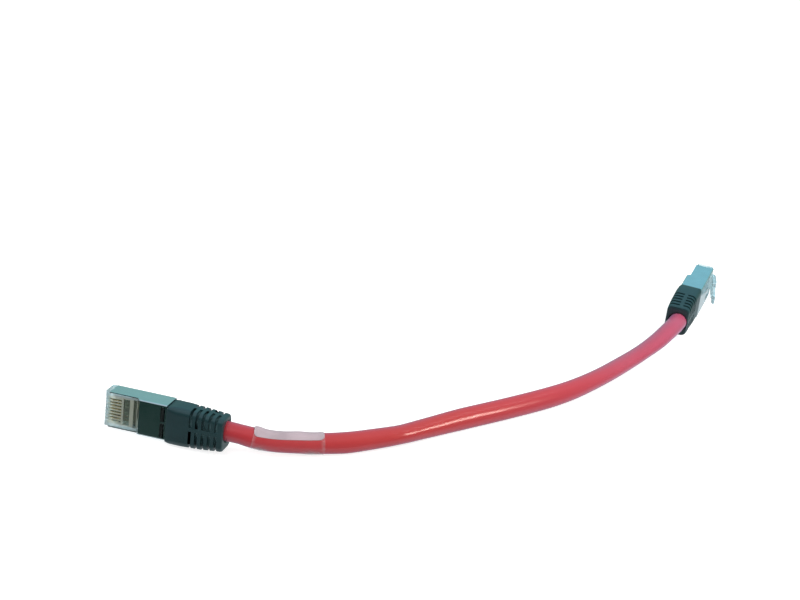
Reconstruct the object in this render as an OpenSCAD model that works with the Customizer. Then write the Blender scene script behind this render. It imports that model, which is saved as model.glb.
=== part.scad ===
// Short shielded patch cable: two shielded eight-contact plugs, each with a
// sprung latch and a ribbed bend relief, on one round jacket with a wrap label.
//
// Each plug is drawn in its own frame: X runs from the nose to the cable, Y from
// the contact face to the latch face, and Z across the eight contacts.

/* [Clear body] */
// Width of the clear body inside the shell
body_w = 11.4; // [11:0.1:12]
// Height of the nose from contact face to latch face
body_h = 6.25; // [6:0.05:6.6]
// Length of the clear body from the nose to its open rear
body_l = 20.5; // [19:0.5:22]
// Distance from the nose to the foot of the step in the contact face
step_x = 11.2; // [10.5:0.1:12]
// Height of the step in the contact face
step_h = 1.35; // [1:0.05:1.6]
// Wall round the rear cavity that takes the jacket
body_wall = 0.5; // [0.4:0.05:0.6]
// Length of the full-width lip at the nose
lip_l = 1.5; // [1:0.1:2]

/* [Contacts and wires] */
// Spacing of the eight contacts
pitch = 1.02; // [1:0.01:1.05]
// Thickness of one gold contact blade
contact_t = 0.35; // [0.3:0.01:0.4]
// Length of one contact blade along the plug
contact_l = 3.9; // [3.4:0.1:4.4]
// Depth of the blade's edge below the contact face
contact_sink = 0.9; // [0.7:0.05:1.1]
// Width of the slot over each contact
slot_w = 0.56; // [0.5:0.02:0.64]
// Diameter of one insulated wire
wire_d = 0.88; // [0.8:0.02:0.92]
// Depth of the wire centres below the contact face
wire_y = 3.2; // [3:0.05:3.4]
// Gap round each wire in its bore and round each blade in its pocket
wire_gap = 0.03; // [0.02:0.01:0.04]

/* [Shell] */
// Thickness of the plated sheet
shell_t = 0.25; // [0.2:0.05:0.3]
// How far the shell runs on behind the clear body
shell_tail = 1; // [0.8:0.1:1.5]
// Outside radius of the shell's long bends
shell_r = 0.5; // [0.4:0.05:0.8]
// Length of the crimped ring that grips the jacket
tail_l = 4; // [3:0.5:5]

/* [Latch] */
// Length of the latch from its root to its free end
latch_l = 14.8; // [13:0.1:15]
// Width of the latch between root and locking shoulders
latch_w = 6.2; // [6:0.05:6.3]
// Width of the finger lever
lever_w = 3.25; // [3:0.05:3.4]
// Thickness of the lever
lever_t = 1.05; // [0.9:0.05:1.2]
// Distance from the nose to the locking shoulders
shoulder_x = 8.4; // [8.2:0.1:8.6]
// Rise of the free latch above the plug, in degrees
latch_rise = 12.5; // [12:0.5:15]

/* [Bend relief boot] */
// Length of the boot behind the shell
boot_l = 19; // [18:0.1:20]
// Width of the boot at its grip block
boot_w = 12.9; // [12.4:0.1:13.2]
// Width of the boot at its end collar
boot_end_w = 11; // [10.4:0.1:11.6]
// Stand-off of the boot beyond the shell on the contact side
boot_swell = 0.7; // [0.4:0.1:1]
// Length of the solid grip block
block_l = 7.8; // [7:0.1:8]
// Spacing of the flex slots
flex_pitch = 2.1; // [2:0.05:2.3]
// Width of one flex slot
flex_slot = 0.95; // [0.8:0.05:1.1]
// Width of the spines that join the ribs
spine_w = 1.3; // [1:0.1:1.6]
// Wall of the sleeve round the cable at the foot of the slots
sleeve_t = 0.4; // [0.3:0.05:0.5]

/* [Cable] */
// Outside diameter of the jacket
jacket_d = 6.4; // [6:0.1:6.4]
// Clearance between the jacket and the boot's bore
bore_gap = 0.12; // [0.08:0.02:0.2]
// Thickness of the clear label film
film_t = 0.12; // [0.1:0.02:0.2]
// Thickness of the printable label panel
panel_t = 0.1; // [0.08:0.02:0.16]

/* [Lie of the cable] */
// Distance between the two noses along X
reach = 204.2; // [190:0.1:220]
// Distance between the two noses along Y
sweep = 128.6; // [115:0.1:145]
// Heading of plug A from its nose to its cable, in degrees
heading_a = -14; // [-24:1:-4]
// Heading of plug B from its nose to its cable, in degrees
heading_b = -110.5; // [-120:0.5:-100]
// Lean of plug A about its own length, in degrees
lean_a = -10; // [-14:1:-6]
// Lean of plug B about its own length, in degrees
lean_b = -1; // [-4:1:4]

/* [Hidden] */
contacts = 8;
// The boots hug the plugs, and a hair of air keeps separate pieces apart.
hair = 0.02;
cut = 0.1;

// Plug levels across the height
body_low = -step_h;
shell_low = body_low - shell_t;
shell_high = body_h + shell_t;
shell_w = body_w + 2 * shell_t;
shell_end = body_l + shell_tail;
axis_y = (body_low + body_h) / 2;
ramp_l = 1.1;
jacket_r = jacket_d / 2;

// Contact slots, wire bores and the load bar behind them
contact_x = 1.4;
slot_end = contact_x + contact_l + 0.4;
blade_end_y = wire_y + wire_d / 2 + 0.25;
wire_start = contact_x + 0.3;
bar_x = slot_end + 2.3;
bar_l = 4.4;
bar_h = 2.6;
bar_y = wire_y - bar_h / 2;
bar_w = contacts * pitch + 0.6;
cavity_x = bar_x + bar_l + 0.2;
cavity_wall = 0.9;
wire_end = bar_x + bar_l + 0.7;
pair_d = 1.9;
pair_l = 2;
pair_offset = 1;
jacket_start = wire_end + pair_l + 0.2;
jacket_room = 0.08;

// Moulded recesses in the contact face, between the contacts and the step
end_wall = 0.7;
recess = [2.1, 1];
ridge_l = 1.3;
pocket_d = 1.3;
pocket_grow = 0.4;
step_wall = 0.3;

// Latch hinge: the thin root that bends where the latch leaves the nose
hinge_r = 0.6;
hinge_gap = 0.05;
hinge_x = 1.2;
hinge_y = body_h + 0.9;
latch_swing = 12;
seat_wall = 0.3;
seat_rim = 0.2;
seat_foot = 1;
latch_under = 0.35;
latch_gap = 0.8;
latch_side_gap = 1.3;

// Crimped tail behind the shell, and the boot's socket over it
ring_gap = 0.1;
ring_x = shell_end + 1.2;
ring_slit = 1.2;
strap_w = 4;
socket_gap = 0.15;
socket_end = ring_x + tail_l + 0.2;

// Boot stations along its axis, measured from the nose; it bends behind its socket
boot_start = shell_end + 0.05;
block_end = boot_start + block_l;
boot_end = boot_start + boot_l;
bend_l = boot_end - socket_end;
block_r = 2;
collar_r = 1.8;
high_taper = 0.4;
slot_count = 5;
bore_sides = 24;

// Where each plug lies on the table: position, heading, lean about its length,
// how far its boot has been bent by the cable, towards +Y and +Z, and how far
// its boot sits off the shell's middle
lie_mid = [-3.4, 6.25];
plug_a = [lie_mid - [reach, sweep] / 2, heading_a, lean_a, [1, 1], -0.5];
plug_b = [lie_mid + [reach, sweep] / 2, heading_b, lean_b, [2, 3], 0.3];

// Route of the jacket from boot to boot: the share of the way between the two
// boot ends along X and along Y, and the rise above where it rests on the table
rest_gap = 0.1;
route_shares = [
    [0.027, -0.007, 3.7], [0.052, -0.010, 3.0], [0.094, -0.003, 1.7], [0.144, 0.013, 0.8],
    [0.197, 0.030, 0.3], [0.243, 0.048, 0.1], [0.301, 0.085, 0.0], [0.354, 0.123, 0.0],
    [0.406, 0.173, 0.0], [0.481, 0.247, 0.0], [0.577, 0.335, 0.0], [0.675, 0.432, 0.0],
    [0.733, 0.502, 0.0], [0.798, 0.602, 0.0], [0.865, 0.723, 0.1], [0.905, 0.794, 0.7],
    [0.941, 0.859, 1.7], [0.972, 0.925, 2.8]
];
label_from = 1;
label_to = 4;
film_seam = [-92, 264];
panel_arc = [40, 150];

// Insulation colours in contact order, from -Z to +Z
wire_colours = [
    "#f3dcc6", "#e8742a", "#cfe6cf", "#3b6fc4",
    "#cfdcf2", "#3f9c55", "#d9c8b8", "#7a4a2b"
];
gold = "#d9b34a";
nickel = "#c3cdd0";
clear = "#dfeaea";
boot_black = "#22383c";
jacket_red = "#b8403f";

contact_ids = [for (i = [1 : contacts]) i];
plug_names = ["body", "load_bar", "wire_pairs", "shell", "latch", "boot"];
function plug_nodes(side) = concat(
    [for (n = plug_names) str("plug_", side, "_", n)],
    [for (i = contact_ids) str("plug_", side, "_contact_", i)],
    [for (i = contact_ids) str("plug_", side, "_wire_", i)]
);

// ---- Outlines, frames and sweeps ----

function unit(v) = v / norm(v);
function contact_z(i) = (i - (contacts + 1) / 2) * pitch;

// Outline of a rounded rectangle from low to high, counter-clockwise
function rounded(low, high, r, steps = 4) = [
    for (corner = [0 : 3])
    let (
        mx = corner == 0 || corner == 3 ? high.x - r : low.x + r,
        my = corner < 2 ? high.y - r : low.y + r
    )
    for (k = [0 : steps])
    let (a = 90 * (corner + k / steps)) [mx + r * cos(a), my + r * sin(a)]
];

function arc(r, from, to, steps) = [
    for (k = [0 : steps]) let (a = from + (to - from) * k / steps) [r * cos(a), r * sin(a)]
];

// Axes of a section at p that faces along t, kept upright
function upright(p, t) =
    let (z = unit([0, 0, 1] - t * t.z), y = cross(z, t))
    [[t.x, y.x, z.x, p.x], [t.y, y.y, z.y, p.y], [t.z, y.z, z.z, p.z], [0, 0, 0, 1]];

function ring(frame, outline) = [
    for (q = outline) let (v = frame * [0, q.x, q.y, 1]) [v.x, v.y, v.z]
];

// Triangles that close a folded outline, whose second half runs back along its first
function fold_cap(first, n) = [
    for (i = [0 : n / 2 - 2]) each [
        [first + i, first + i + 1, first + n - 2 - i],
        [first + i, first + n - 2 - i, first + n - 1 - i]
    ]
];

// Closed skin over a list of rings with equal numbers of points
module skin(rings, folded = false) {
    n = len(rings[0]);
    last = (len(rings) - 1) * n;
    sides = [
        for (k = [0 : len(rings) - 2], i = [0 : n - 1])
        let (a = k * n + i, b = k * n + (i + 1) % n)
        each [[a, a + n, b + n], [a, b + n, b]]
    ];
    start_cap = folded ? fold_cap(0, n) : [[for (i = [0 : n - 1]) i]];
    end_cap = folded
        ? [for (f = fold_cap(last, n)) [f[2], f[1], f[0]]]
        : [[for (i = [n - 1 : -1 : 0]) last + i]];
    polyhedron([for (r = rings) each r], concat(sides, start_cap, end_cap), convexity = 8);
}

// Axis of the boot: straight over its socket, then an even bend to the collar
function boot_point(s, bend) =
    let (
        angle = norm(bend),
        way = angle == 0 ? [0, 0] : bend / angle,
        along = max(0, s - socket_end),
        turn = angle * along / bend_l,
        chord = turn == 0 ? along : along * sin(turn / 2) / (turn / 2 * PI / 180),
        offset = chord * sin(turn / 2)
    )
    [min(s, socket_end) + chord * cos(turn / 2), axis_y + way.x * offset, way.y * offset];

function boot_heading(s, bend) =
    let (angle = norm(bend), way = angle == 0 ? [0, 0] : bend / angle,
        turn = angle * max(0, s - socket_end) / bend_l)
    [cos(turn), way.x * sin(turn), way.y * sin(turn)];

function boot_frame(s, bend) = upright(boot_point(s, bend), boot_heading(s, bend));

// Height that rests the leaning plug's boot or shell on the table
function rest_height(lean, drop) =
    let (
        inward = lean < 0 ? -1 : 1,
        boot_y = (lean < 0 ? shell_high : shell_low - boot_swell) + inward * block_r,
        boot_z = boot_w / 2 - drop - block_r,
        shell_y = (lean < 0 ? shell_high : shell_low) + inward * shell_r,
        shell_z = shell_w / 2 - shell_r
    )
    max(
        boot_z * cos(lean) - boot_y * sin(lean) + block_r,
        shell_z * cos(lean) - shell_y * sin(lean) + shell_r
    );

function plug_origin(plug) = [plug[0].x, plug[0].y, rest_height(plug[2], plug[4])];

// A point of a plug's own frame, moved to where the plug lies
function placed(p, plug) =
    let (
        c = cos(plug[2]), s = sin(plug[2]),
        q = [p.x, p.y * c - p.z * s, p.y * s + p.z * c],
        cy = cos(plug[1]), sy = sin(plug[1])
    )
    plug_origin(plug) + [q.x * cy - q.y * sy, q.x * sy + q.y * cy, q.z];

module place(plug) {
    translate(plug_origin(plug)) rotate([plug[2], 0, plug[1]]) children();
}

// ---- Clear body and what it holds ----

// Side outline of the plug between its contact face and its latch face
function side_outline(x0, x1, low, front_low, high) = [
    [x0, front_low], [step_x, front_low], [step_x + ramp_l, low], [x1, low], [x1, high], [x0, high]
];

module along_x(x0, x1) {
    translate([x0, 0, 0]) rotate([90, 0, 90]) linear_extrude(x1 - x0) children();
}

module across(width) {
    linear_extrude(width, center = true) children();
}

// Sleeve-shaped envelope of the plug, grown outwards by t on every side
module envelope(x0, x1, t) {
    intersection() {
        across(body_w + 2 * t)
            polygon(side_outline(x0, x1, body_low - t, -t, body_h + t));
        along_x(x0, x1) polygon(rounded(
            [body_low - t, -body_w / 2 - t], [body_h + t, body_w / 2 + t], shell_r - shell_t + t
        ));
    }
}

module nose_lip() {
    chamfer = 0.5;
    inset = 0.05;
    high = shell_high - inset;
    half = shell_w / 2 - inset;
    intersection() {
        across(2 * half) polygon([
            [0, chamfer], [chamfer, 0], [lip_l, 0], [lip_l, high],
            [2 * chamfer, high], [0, high - 2 * chamfer]
        ]);
        along_x(0, lip_l) polygon(rounded([0, -half], [high, half], shell_r));
    }
}

// Seat of the latch root on the nose, cut away where the pressed latch swings
module latch_seat() {
    front = hinge_x - hinge_r - hinge_gap - seat_wall;
    rim = hinge_y + seat_rim;
    sunk = body_h - 1;
    difference() {
        across(latch_w) polygon([
            [front, sunk], [front, rim - seat_wall], [front + seat_wall, rim], [hinge_x, rim],
            [hinge_x + seat_foot, body_h + seat_rim], [hinge_x + seat_foot + seat_wall, sunk]
        ]);
        translate([hinge_x, hinge_y, 0])
            cylinder(r = hinge_r + hinge_gap, h = latch_w + 2 * cut, center = true, $fn = 48);
        translate([hinge_x, hinge_y, 0]) rotate([0, 0, latch_rise - latch_swing - 0.5])
            translate([0, -hinge_r - hinge_gap, -latch_w]) cube([latch_l, latch_l, 2 * latch_w]);
    }
}

// Side outline of one contact blade, with three tines that pierce the wire
function blade_outline() =
    let (
        front_r = 0.45, back_r = 0.3, point = 0.3, x1 = contact_x + contact_l,
        root = wire_y - wire_d / 2 - 0.15, tine = contact_l / 7
    )
    concat(
        [for (q = arc(front_r, 270, 180, 4)) [contact_x + front_r + q.x, contact_sink + front_r + q.y]],
        [[contact_x, root]],
        [for (k = [0 : 2]) let (x = contact_x + tine * (1 + 2 * k)) each [
            [x, root], [x, blade_end_y - point], [x + tine / 2, blade_end_y],
            [x + tine, blade_end_y - point], [x + tine, root]
        ]],
        [[x1, root]],
        [for (q = arc(back_r, 0, -90, 3)) [x1 - back_r + q.x, contact_sink + back_r + q.y]]
    );

module contact(i) {
    color(gold) translate([0, 0, contact_z(i)]) across(contact_t) polygon(blade_outline());
}

module wire(i) {
    color(wire_colours[i - 1]) difference() {
        translate([wire_start, wire_y, contact_z(i)]) rotate([0, 90, 0])
            cylinder(d = wire_d, h = wire_end - wire_start, $fn = 32);
        translate([contact_x, 0, contact_z(i) - contact_t / 2 - hair])
            cube([contact_l + hair, blade_end_y + hair, contact_t + 2 * hair]);
    }
}

module wire_bores(x0, x1) {
    for (i = contact_ids) translate([x0, wire_y, contact_z(i)]) rotate([0, 90, 0])
        cylinder(d = wire_d + 2 * wire_gap, h = x1 - x0, $fn = 32);
}

module contact_slots() {
    for (i = contact_ids) {
        translate([-cut, -cut, contact_z(i) - slot_w / 2])
            cube([slot_end + cut, contact_sink + cut, slot_w]);
        translate([contact_x - wire_gap, 0, contact_z(i) - contact_t / 2 - wire_gap])
            cube([contact_l + 2 * wire_gap, blade_end_y + wire_gap, contact_t + 2 * wire_gap]);
    }
}

// Recess over the wires, a ridge across them, and the pocket ahead of the step
module crossbar_recess() {
    recess_x = slot_end + end_wall;
    pocket_x = recess_x + recess.x + ridge_l;
    pocket_w = bar_w + 2 * pocket_grow;
    translate([recess_x, -cut, -bar_w / 2]) cube([recess.x, recess.y + cut, bar_w]);
    translate([pocket_x, -cut, -pocket_w / 2])
        cube([step_x - step_wall - pocket_x, pocket_d + cut, pocket_w]);
}

module body() {
    color(clear) difference() {
        union() {
            envelope(lip_l - 0.5, body_l, -hair);
            nose_lip();
            latch_seat();
        }
        contact_slots();
        wire_bores(wire_start - wire_gap, bar_x + cut);
        crossbar_recess();
        // Pocket of the load bar
        translate([bar_x - hair, bar_y - hair, -bar_w / 2 - hair])
            cube([cavity_x - bar_x + 2 * cut, bar_h + 2 * hair, bar_w + 2 * hair]);
        // Rear cavity and bore that take the jacket
        translate([cavity_x, body_low + body_wall, cavity_wall - body_w / 2])
            cube([body_l, body_h - body_low - 2 * body_wall, body_w - 2 * cavity_wall]);
        translate([jacket_start - jacket_room, axis_y, 0]) rotate([0, 90, 0])
            cylinder(r = jacket_r + jacket_room, h = body_l, $fn = 48);
    }
}

module load_bar() {
    color("#e9eef0") difference() {
        translate([bar_x, bar_y, -bar_w / 2]) cube([bar_l, bar_h, bar_w]);
        wire_bores(bar_x - cut, bar_x + bar_l + cut);
    }
}

// The four foil-wrapped pairs where they leave the jacket
module wire_pairs() {
    color("#c9ccce") for (y = [-pair_offset, pair_offset], z = [-pair_offset, pair_offset])
        translate([wire_end + 0.1, axis_y + y, z]) rotate([0, 90, 0])
            cylinder(d = pair_d, h = pair_l, $fn = 32);
}

// ---- Shell ----

// Sheet tail: a strap bent in from the latch side and a slit ring round the jacket
module crimp_tail() {
    inner = jacket_r + ring_gap;
    outer = inner + shell_t;
    sheet = shell_high - shell_t;
    strap_high = axis_y + outer;
    across(strap_w) polygon([
        [shell_end - 1, sheet], [shell_end - 0.2, strap_high - shell_t],
        [ring_x + 0.2, strap_high - shell_t], [ring_x + 0.2, strap_high],
        [shell_end, strap_high], [shell_end - 0.6, sheet + 0.05]
    ]);
    translate([ring_x, axis_y, 0]) rotate([0, 90, 0]) difference() {
        cylinder(r = outer, h = tail_l, $fn = 48);
        translate([0, 0, -cut]) cylinder(r = inner, h = tail_l + 2 * cut, $fn = 48);
        translate([-ring_slit / 2, -outer - cut, -cut]) cube([ring_slit, outer, tail_l + 2 * cut]);
    }
}

module shell() {
    window = [1.5, 4.8];
    window_x = shell_end - 0.5 - window.x / 2;
    seam_w = 0.6;
    opening_w = latch_w + 2 * latch_side_gap;
    color(nickel) union() {
        difference() {
            envelope(lip_l, shell_end, shell_t);
            envelope(-1, shell_end + 1, 0);
            // Open contact side ahead of the step
            translate([0, -1, -body_w / 2]) cube([step_x + 0.05, 2, body_w]);
            // Latch opening between the two front lips
            translate([0, body_h - 1, -opening_w / 2]) cube([shoulder_x + latch_gap, 3, opening_w]);
            // Two windows either side of the seam bar on the contact side
            for (s = [-1, 1]) translate([window_x, shell_low, s * (window.y + seam_w) / 2])
                cube([window.x, 2, window.y], center = true);
        }
        crimp_tail();
    }
}

// ---- Latch ----

module latch() {
    shoulder = (shoulder_x - hinge_x) / cos(latch_rise);
    crest = [2, 0.95];
    shoulder_h = 0.75;
    tip = [0.8, 0.35];
    color(clear) translate([hinge_x, hinge_y, 0]) rotate([0, 0, latch_rise]) union() {
        cylinder(r = hinge_r, h = latch_w, center = true, $fn = 48);
        // Wide part with the two locking shoulders
        across(latch_w) polygon([
            [0, -hinge_r], [shoulder, -latch_under], [shoulder, shoulder_h],
            [shoulder - crest.x, crest.y], [0, hinge_r]
        ]);
        // Finger lever, lifted at its tip
        across(lever_w) polygon([
            [shoulder - crest.x, -latch_under], [latch_l - tip.x, -latch_under],
            [latch_l, tip.y - latch_under], [latch_l, lever_t - latch_under],
            [shoulder - crest.x, lever_t - latch_under + 0.1]
        ]);
    }
}

// ---- Boot ----

// Boot sections from shell to collar, as [station, half width, low, high, radius]
function boot_sections() =
    let (
        low = shell_low - axis_y, high = shell_high - axis_y,
        swollen = low - boot_swell, tapered = high - high_taper,
        w = boot_w / 2, e = boot_end_w / 2
    )
    [
        [boot_start, shell_w / 2 + 0.05, low - 0.1, high, 0.9],
        [boot_start + 1.3, w - 0.12, low - 0.7 * boot_swell, high, 1.5],
        [boot_start + 3.3, w, swollen, high, block_r],
        [socket_end, w, swollen, high, block_r],
        [block_end - 1, w - 0.1, swollen, high, block_r],
        [block_end + flex_pitch * 2, (w + e) / 2 + 0.1, swollen, high - 0.3, 1.9],
        [boot_end - 2, e + 0.05, swollen + 0.05, tapered + 0.1, collar_r],
        [boot_end - 0.8, e, swollen + 0.1, tapered, collar_r],
        [boot_end - 0.25, e - 0.2, swollen + 0.3, tapered - 0.2, collar_r - 0.1],
        [boot_end, e - 0.65, swollen + 0.75, tapered - 0.65, collar_r - 0.4]
    ];

// Circle of a bore in the boot, as an outline that clears the radius all round
function bore_outline(r) = arc(r / cos(180 / bore_sides), 0, 360 - 360 / bore_sides, bore_sides - 1);

// Round tube along the boot's axis, through the given stations
module boot_tube(stops, bend, r) {
    skin([for (s = stops) ring(boot_frame(s, bend), bore_outline(r))]);
}

// Flex slots wrap each corner and leave a spine on every face
module flex_slots(bend) {
    corner = 10;
    off = (spine_w + corner) / 2;
    for (k = [0 : slot_count - 1], sy = [-1, 1], sz = [-1, 1])
        multmatrix(boot_frame(block_end + 0.5 + k * flex_pitch, bend))
        translate([0, sy * off, sz * off]) cube([flex_slot, corner, corner], center = true);
}

module boot(bend, drop) {
    stations = [for (k = boot_sections()) ring(
        boot_frame(k[0], bend), rounded([k[2], -k[1] + drop], [k[3], k[1] + drop], k[4], 5)
    )];
    bore_r = jacket_r + bore_gap;
    bends = [for (k = [1 : 4]) socket_end + k * bend_l / 4];
    flare = [[boot_end - 0.5, bore_r], [boot_end + 0.5, bore_r + 0.9]];
    ring_r = jacket_r + ring_gap + shell_t + socket_gap;
    socket = [socket_end - boot_start, 2 * ring_r, 2 * ring_r + 1];
    color(boot_black) difference() {
        union() {
            difference() {
                skin(stations);
                flex_slots(bend);
            }
            boot_tube(concat([socket_end], [for (k = [0 : 2]) bends[k]], [boot_end - 1]),
                bend, bore_r + sleeve_t);
        }
        boot_tube(concat([boot_start - 1, socket_end], bends, [boot_end + 1]), bend, bore_r);
        skin([for (f = flare) ring(boot_frame(f.x, bend), bore_outline(f.y))]);
        // Socket over the crimped tail
        translate([boot_start - 1, axis_y - socket.y / 2, -socket.z / 2])
            cube([socket.x + 1, socket.y, socket.z]);
    }
}

// ---- Jacket and label ----

// Whole path of the jacket, from inside plug A to inside plug B
function plug_lead(plug) = [
    for (s = [jacket_start, boot_start, socket_end, socket_end + bend_l / 2, boot_end])
    placed(boot_point(s, plug[3]), plug)
];
function reversed(list) = [for (k = [len(list) - 1 : -1 : 0]) list[k]];
lead_a = plug_lead(plug_a);
lead_b = reversed(plug_lead(plug_b));
way = lead_b[0] - lead_a[len(lead_a) - 1];
route = [
    for (f = route_shares) [
        lead_a[len(lead_a) - 1].x + f.x * way.x,
        lead_a[len(lead_a) - 1].y + f.y * way.y,
        jacket_r + rest_gap + f.z
    ]
];
path = concat(lead_a, route, lead_b);

function heading(k) = unit(path[min(k + 1, len(path) - 1)] - path[max(k - 1, 0)]);

module path_skin(from, to, outline, folded = false) {
    skin([for (k = [from : to]) ring(upright(path[k], heading(k)), outline)], folded);
}

module jacket() {
    sides = 12;
    color(jacket_red) path_skin(0, len(path) - 1, arc(jacket_r, 0, 360 - 360 / sides, sides - 1));
}

// Wrap of the label round the jacket between two of the route's points
module label_wrap(inner, thick, span, steps) {
    outline = concat(arc(inner + thick, span.x, span.y, steps), arc(inner, span.y, span.x, steps));
    path_skin(len(lead_a) + label_from, len(lead_a) + label_to, outline, folded = true);
}

panel_inner = jacket_r + 0.06;
film_inner = panel_inner + panel_t + 0.04;

module label_panel() {
    color("#d8dde2") label_wrap(panel_inner, panel_t, panel_arc, 8);
}

module label_film() {
    color("#e9c9cc") label_wrap(film_inner, film_t, film_seam, 28);
}

// ---- Nodes ----

module plug(side, lies) {
    name = str("plug_", side, "_");
    place(lies) body();
    place(lies) load_bar();
    place(lies) wire_pairs();
    place(lies) shell();
    place(lies) latch();
    place(lies) boot(lies[3], lies[4]);
    for (i = contact_ids) {
        place(lies) contact(i);
        place(lies) wire(i);
    }
}

plug("a", plug_a);
plug("b", plug_b);
jacket();
label_panel();
label_film();
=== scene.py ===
import math

import bmesh
import bpy
import numpy as np
from mathutils import Matrix, Vector
from mathutils.bvhtree import BVHTree


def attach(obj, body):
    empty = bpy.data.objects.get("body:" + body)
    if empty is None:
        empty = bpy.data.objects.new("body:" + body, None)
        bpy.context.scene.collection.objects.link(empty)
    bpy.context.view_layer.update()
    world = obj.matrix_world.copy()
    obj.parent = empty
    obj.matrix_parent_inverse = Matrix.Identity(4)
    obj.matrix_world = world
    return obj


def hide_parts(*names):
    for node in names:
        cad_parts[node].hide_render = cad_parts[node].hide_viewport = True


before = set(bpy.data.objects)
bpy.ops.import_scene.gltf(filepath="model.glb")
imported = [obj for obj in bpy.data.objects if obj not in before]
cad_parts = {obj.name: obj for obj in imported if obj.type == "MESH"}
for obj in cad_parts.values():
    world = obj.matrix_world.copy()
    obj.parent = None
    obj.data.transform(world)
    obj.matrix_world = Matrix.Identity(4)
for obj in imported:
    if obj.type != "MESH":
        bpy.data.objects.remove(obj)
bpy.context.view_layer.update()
scene = bpy.context.scene
millimetre = 0.001
print("frame loaded:", len(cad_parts), "nodes")

camera = {
    "place": (-0.01499, -0.48125, 0.2794),
    "pitch": 28.0,  # degrees below the horizon
    "roll": 4.444,
    "lens": 71.32,
    "sensor": 36,
    "clip": (0.01, 20),
}
cameraPitch = math.radians(camera["pitch"])
cameraUp = Vector((0, math.sin(cameraPitch), math.cos(cameraPitch)))


def aimCamera(setup):
    data = bpy.data.cameras.new("camera")
    data.lens = setup["lens"]
    data.sensor_width = setup["sensor"]
    data.clip_start, data.clip_end = setup["clip"]
    eye = bpy.data.objects.new("camera", data)
    scene.collection.objects.link(eye)
    roll = math.radians(setup["roll"])
    right = Vector((1, 0, 0))
    ahead = Vector((0, math.cos(cameraPitch), -math.sin(cameraPitch)))
    tiltedRight = right * math.cos(roll) + cameraUp * math.sin(roll)
    tiltedUp = cameraUp * math.cos(roll) - right * math.sin(roll)
    turn = Matrix((tiltedRight, tiltedUp, -ahead)).transposed().to_4x4()
    eye.matrix_world = Matrix.Translation(setup["place"]) @ turn
    scene.camera = eye


aimCamera(camera)

# Each plug has its own frame in millimetres: X from nose to cable, Y from contact
# face to latch face, Z across the contacts. Its boot bends by degrees along Y and Z.
plugs = {
    "a": {"spot": (-105.5, -58.05, 7.6562), "yaw": -14, "lean": -10, "bend": (1, 1)},
    "b": {"spot": (98.7, 70.55, 6.2279), "yaw": -110.5, "lean": -1, "bend": (2, 3)},
}
plugSizes = {"axisY": 2.45, "jacketStart": 15.3, "pitch": 1.02, "contacts": 8, "wireY": 3.2,
             "stripeHalf": 0.17}
boot = {"start": 21.55, "bendStart": 26.9, "end": 40.55}
# distances in metres, angles in degrees
edgeRules = {"weld": 1e-7, "merge": 2e-7, "flat": 0.6, "hard": 32, "tubeHard": 40, "eased": 40,
             "segments": 2}


def plugPlace(side):
    lies = plugs[side]
    turn = Matrix.Rotation(math.radians(lies["yaw"]), 4, "Z")
    lean = Matrix.Rotation(math.radians(lies["lean"]), 4, "X")
    return Matrix.Translation(lies["spot"]) @ turn @ lean


def plugMatrix(side):
    return Matrix.Scale(millimetre, 4) @ plugPlace(side)


def newObject(name, mesh):
    piece = bpy.data.objects.new(name, mesh)
    scene.collection.objects.link(piece)
    return piece


def meshFrom(name, points, faces, edges=()):
    mesh = bpy.data.meshes.new(name)
    mesh.from_pydata([tuple(p) for p in points], list(edges), faces)
    mesh.update()
    return mesh


def loft(rings):
    n = len(rings[0])
    faces = [
        (k * n + i, k * n + (i + 1) % n, (k + 1) * n + (i + 1) % n, (k + 1) * n + i)
        for k in range(len(rings) - 1) for i in range(n)
    ]
    faces.append(tuple(range(n))[::-1])
    faces.append(tuple((len(rings) - 1) * n + i for i in range(n)))
    return [p for r in rings for p in r], faces


def smoothEdges(mesh, angle):
    bm = bmesh.new()
    bm.from_mesh(mesh)
    limit = math.radians(angle)
    for face in bm.faces:
        face.smooth = True
    for edge in bm.edges:
        edge.smooth = edge.calc_face_angle(0) < limit
    bm.to_mesh(mesh)
    bm.free()


def outward(mesh):
    bm = bmesh.new()
    bm.from_mesh(mesh)
    bmesh.ops.remove_doubles(bm, verts=bm.verts, dist=edgeRules["weld"])
    bmesh.ops.recalc_face_normals(bm, faces=bm.faces)
    bm.to_mesh(mesh)
    bm.free()


def settle(piece):
    # Modifiers become plain mesh, so the piece is ready to ride on its body.
    graph = bpy.context.evaluated_depsgraph_get()
    graph.update()
    made = bpy.data.meshes.new_from_object(piece.evaluated_get(graph), depsgraph=graph)
    made.name = piece.name
    piece.modifiers.clear()
    piece.data = made
    return piece


def evenNormals(piece):
    # The large flat faces keep their own direction up to their eased edges.
    level = piece.modifiers.new("level", "WEIGHTED_NORMAL")
    level.keep_sharp = True
    level.weight = 100
    settle(piece)


def easeEdges(piece, width):
    ease = piece.modifiers.new("ease", "BEVEL")
    ease.width = width
    ease.segments = edgeRules["segments"]
    ease.limit_method = "ANGLE"
    ease.angle_limit = math.radians(edgeRules["eased"])
    ease.use_clamp_overlap = True
    ease.miter_outer = "MITER_ARC"
    settle(piece)
    smoothEdges(piece.data, edgeRules["hard"])
    evenNormals(piece)


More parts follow.
